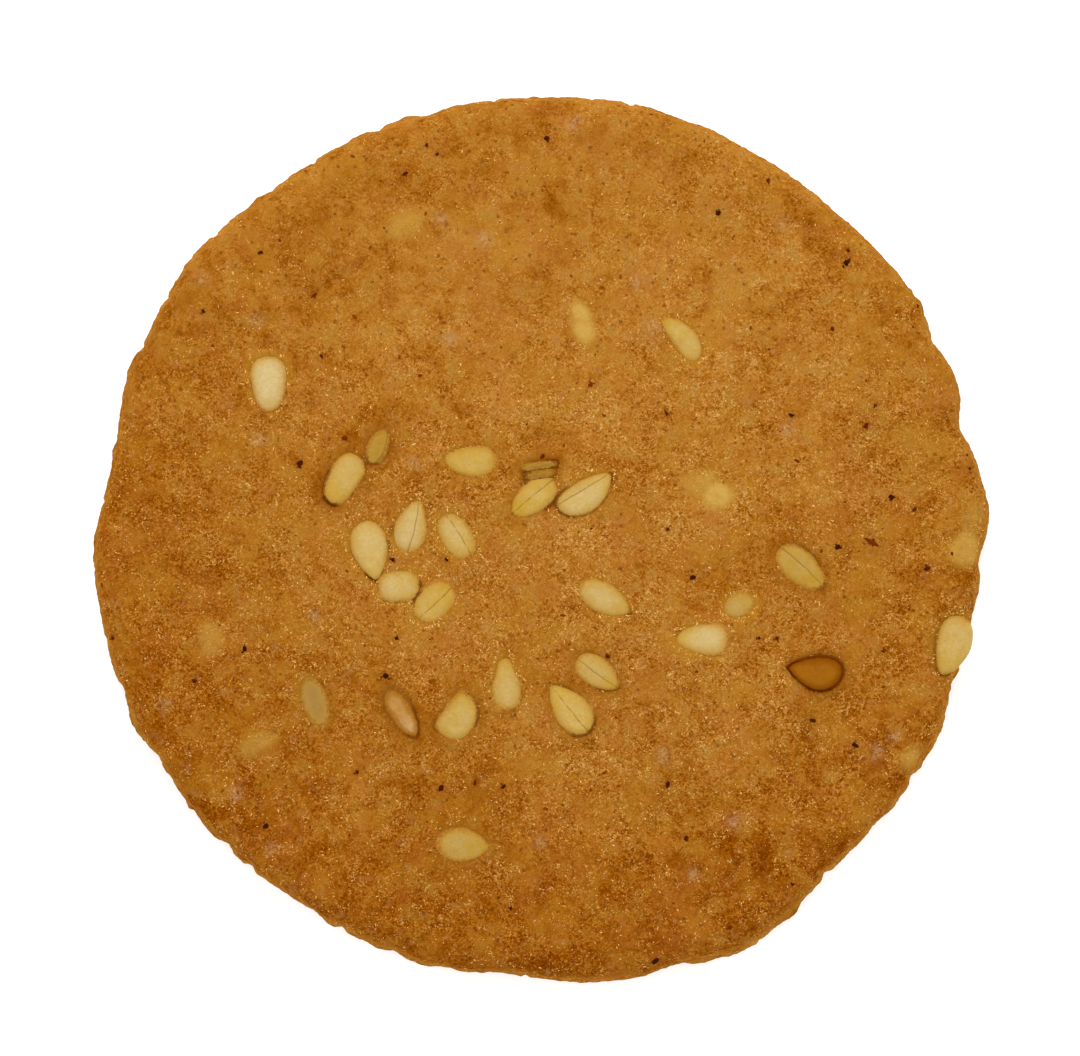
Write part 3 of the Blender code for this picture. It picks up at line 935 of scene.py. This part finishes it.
# --------------------------------------
# Two seeds that kept their hulls and toasted: amber brown inside a dark skin, one of them
# with a pale heart. The dough holds them by their rims, and has cracked open along them.
# --------------------------------------
toasted = join_pieces([model_seed(s, "toasted") for s in TOASTED_SEEDS], "toasted_seeds")
skin, tree, _ = new_material("toasted_hull", 0.6, 0.0)
spot = spots_on(tree)
veil = read(tree, "veil")
speckle = cloud(spot, 0.2 * MM, 3.0, 0.8)
inside = plus(read(tree, "inside"), times(minus(speckle, 0.5), 0.2))
shade = blended(veil, colour(191, 131, 46), colour(166, 104, 22))
heart = times(read(tree, "pale"), eased(inside, 0.2, 0.62))
streaks = times(minus(0.7, speckle), 0.9)
dulled = plus(times(veil, 0.5), 0.3)
toward_rim = times(eased(inside, 0.65, 0.08), dulled)
shade = layered(shade, (heart, 222, 182, 124), (streaks, 130, 70, 0), (toward_rim, 132, 66, 0))
dough, _ = baked_shade(spot)
shade = blended(eased(inside, 0.04, -0.06, 0.6), shade, dough)
# A dark rim of skin, deepened with painted shadow where the dough has cracked open along it.
dark_rim_and_gap_shadow = plus(times(read(tree, "gap"), 0.7), 0.2)
dark_rim_and_gap_shadow = times(dark_rim_and_gap_shadow, eased(inside, 0.17, 0.05))
shade = layered(shade, (dark_rim_and_gap_shadow, 84, 26, 0))
coat(toasted, skin, shade, speckle, 0.03 * MM)
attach(toasted, "root")

# --------------------------------------
# Spice and bran specks: thin dark flakes, some reddish, with smaller crumbs beside them.
# They were stirred into the dough, and lie baked into its skin on the top and on the cut.
# --------------------------------------
SPECK_CRUMBS = 2
SMALL_SPECKS = 280
WALL_SPECKS = 160
SPECK_THICKNESS = 0.05 * MM
SPECK_REACH = 24.2
FLAKE_TONES = ((0.0, colour(42, 8, 0)), (0.5, colour(116, 46, 0)), (0.9, colour(142, 78, 4)))


def on_top(x, y):
    """The spot on the top at a place in millimetres, and the way it faces."""
    height, facing = dough_at(x, y, finished_crust)
    return Vector((x * MM, y * MM, height)), facing


def strew(name, base, spots, ruggedness):
    """Joined copies of a base shape on the dough. Each spot is its seat, the way the dough
    faces there, the copy's turn, and its three sizes in metres."""
    corners = places_of(base)
    faces = np.array([list(face.vertices) for face in base.data.polygons])
    all_corners, all_faces = [], []
    for seat, facing, turn, sizes in spots:
        lie = facing.to_track_quat("Z", "Y").to_matrix() @ Matrix.Rotation(turn, 3, "Z")
        moved = corners * chance.normal(1.0, ruggedness, (len(corners), 1)) * np.array(sizes)
        moved = moved @ np.array(lie).T + np.array(seat)
        all_faces.append(faces + len(all_corners) * len(corners))
        all_corners.append(moved)
    bpy.data.objects.remove(base)
    mesh = bpy.data.meshes.new(name)
    mesh.from_pydata(np.concatenate(all_corners).tolist(), [], np.concatenate(all_faces).tolist())
    piece = bpy.data.objects.new(name, mesh)
    bpy.context.collection.objects.link(piece)
    return piece


def wall_place():
    """A random spot on the cut edge, and the way it faces."""
    turn = chance.uniform(0, 2 * pi)
    level = chance.uniform(low.z + 0.3 * MM, high.z - 0.9 * MM)
    start = Vector((2 * edge_reach * cos(turn), 2 * edge_reach * sin(turn), level))
    hit, facing, _, _ = finished_crust.ray_cast(start, Vector((-cos(turn), -sin(turn), 0)))
    return hit, facing


def scattered_place(reach_limit):
    """A random place on the top, in millimetres."""
    reach = reach_limit * chance.uniform() ** 0.5
    turn = chance.uniform(0, 2 * pi)
    return reach * cos(turn), reach * sin(turn)


bpy.ops.object.select_all(action="DESELECT")
bpy.ops.mesh.primitive_ico_sphere_add(subdivisions=2, radius=1)
flake = bpy.context.object
spots, redness = [], []
for x, y, length, width, lies, red in LARGE_SPECKS:
    sizes = (0.5 * length * MM, 0.5 * width * MM, SPECK_THICKNESS)
    spots.append((*on_top(x, y), radians(lies), sizes))
    redness.append(red)
    for _ in range(SPECK_CRUMBS):
        turn = chance.uniform(0, 2 * pi)
        away = chance.uniform(0.45, 0.9) * width
        size = chance.uniform(0.12, 0.28) * width * MM
        sizes = (1.4 * size, size, 0.6 * SPECK_THICKNESS)
        near = on_top(x + away * cos(turn), y + away * sin(turn))
        spots.append((*near, chance.uniform(0, pi), sizes))
        redness.append(min(red + chance.uniform(0.1, 0.6), 1.0))
for number in range(SMALL_SPECKS + WALL_SPECKS):
    size = 0.035 + 0.045 * chance.uniform() ** 3
    sizes = (size * MM * chance.uniform(1.0, 2.2), size * MM, 0.4 * SPECK_THICKNESS)
    where = on_top(*scattered_place(SPECK_REACH)) if number < SMALL_SPECKS else wall_place()
    spots.append((*where, chance.uniform(0, pi), sizes))
    redness.append(chance.uniform(0.8, 1.9))
corner_count = len(flake.data.vertices)
specks = strew("spice_specks", flake, spots, 0.13)
store(specks, "redness", np.repeat(redness, corner_count))
flakes, tree, _ = new_material("spice_flakes", 0.7, 0.02)
spot = spots_on(tree)
dark = ramp(times(read(tree, "redness"), 0.5), FLAKE_TONES)
speckle = cloud(spot, 0.1 * MM)
shade = layered(dark, (times(speckle, 0.3), 112, 52, 8))
coat(specks, flakes, shade)
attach(specks, "root")

# --------------------------------------
# Sugar grains: coarse sugar stirred into the dough. It half melted in the oven, and lies pale gold
# on the top, on the cut edge and round the golden seeds; its bright gold is partly painted glint.
# --------------------------------------
SUGAR_GRAINS = 8500
TOP_REACH = 24.4
SHARE_AT_RIMS = 0.045
ONE_ON_WALL_IN = 7
# The grains' pale gold, made bright enough to serve as painted glints as well.
GOLDS_AND_PAINTED_GLINTS = ((0.35, colour(226, 156, 66)), (0.5, colour(250, 187, 92)), (0.62, colour(255, 220, 140)))


def rim_place(seed):
    """A random place just outside a seed's rim, in millimetres."""
    turn = chance.uniform(0, 2 * pi)
    out = 1 + 0.3 * chance.uniform()
    along = cos(turn) * out * seed.length / 2
    across = sin(turn) * out * seed.width / 2 * width_there(seed, cos(turn))
    way = radians(seed.tip)
    x = seed.x + along * cos(way) - across * sin(way)
    y = seed.y + along * sin(way) + across * cos(way)
    return x, y


bpy.ops.object.select_all(action="DESELECT")
bpy.ops.mesh.primitive_ico_sphere_add(subdivisions=1, radius=1)
grain_base = bpy.context.object
golden_seeds = [seed for seed in HULLED_SEEDS if seed.dusk < 0.3]
spots = []
while len(spots) < SUGAR_GRAINS:
    at_rim = chance.uniform() < SHARE_AT_RIMS
    if at_rim:
        x, y = rim_place(golden_seeds[chance.integers(len(golden_seeds))])
        if hypot(x, y) > TOP_REACH:
            continue
    else:
        # Grains gather in drifts, and fewer lie on the far side.
        x, y = scattered_place(TOP_REACH)
        gathered = noise.fractal(Vector((x, y, 4.0)) / 1.2, 1.0, 2.0, 3)
        if gathered < chance.normal(0.12 + 0.012 * y, 0.12):
            continue
    size = (0.012 + 0.022 * chance.uniform() ** 2 + 0.006 * at_rim) * MM
    sizes = (size * chance.uniform(1.0, 3.4), size, size * chance.uniform(0.7, 1.1))
    where = wall_place() if len(spots) % ONE_ON_WALL_IN == 0 else on_top(x, y)
    spots.append((*where, chance.normal(2.1, 0.7), sizes))
sugar = strew("sugar_grains", grain_base, spots, 0.2)
crystal, tree, _ = new_material("sugar_crystal", 0.35, 0.12)
spot = spots_on(tree)
shade = ramp(cloud(spot, 0.12 * MM), GOLDS_AND_PAINTED_GLINTS)
coat(sugar, crystal, shade)
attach(sugar, "root")

# --------------------------------------
# The studio: a plain pale floor, a soft light from the top of the view, and a camera that
# looks straight down.
# --------------------------------------
bpy.ops.object.select_all(action="DESELECT")
bpy.ops.mesh.primitive_plane_add(size=6.0, location=(0, 0, -0.02 * MM))
floor = bpy.context.object
floor.name = "floor"
paper, _, shader = new_material("floor_paper", 0.9, 0.1)
shader.inputs["Base Color"].default_value = (0.92, 0.92, 0.92, 1.0)
shader.inputs["Emission Color"].default_value = (1.0, 1.0, 1.0, 1.0)
shader.inputs["Emission Strength"].default_value = 0.45
floor.data.materials.append(paper)

world = bpy.data.worlds.new("studio_air")
bpy.context.scene.world = world
world.use_nodes = True
world.node_tree.nodes["Background"].inputs["Color"].default_value = (1.0, 1.0, 1.0, 1.0)
world.node_tree.nodes["Background"].inputs["Strength"].default_value = 0.95

key_data = bpy.data.lights.new("key_light", "AREA")
key_data.shape = "DISK"
key_data.size = 0.22
key_data.energy = 0.85
key = bpy.data.objects.new("key_light", key_data)
bpy.context.collection.objects.link(key)
key.location = (-0.02, 0.24, 0.32)
key.rotation_euler = (-key.location).to_track_quat("-Z", "Y").to_euler()

FRAME_WIDTH = 60.43 * MM
FRAME_EAST = -0.06 * MM
FRAME_NORTH = 0.67 * MM
LENS = 800.0
SENSOR = 36.0
camera_data = bpy.data.cameras.new("camera")
camera_data.lens = LENS
camera_data.sensor_width = SENSOR
camera_data.clip_start = 0.05
camera = bpy.data.objects.new("camera", camera_data)
bpy.context.collection.objects.link(camera)
camera.location = (FRAME_EAST, FRAME_NORTH, high.z + FRAME_WIDTH * LENS / SENSOR)
camera.rotation_euler = (0, 0, 0)
bpy.context.scene.camera = camera
bpy.context.scene.view_settings.view_transform = "Standard"
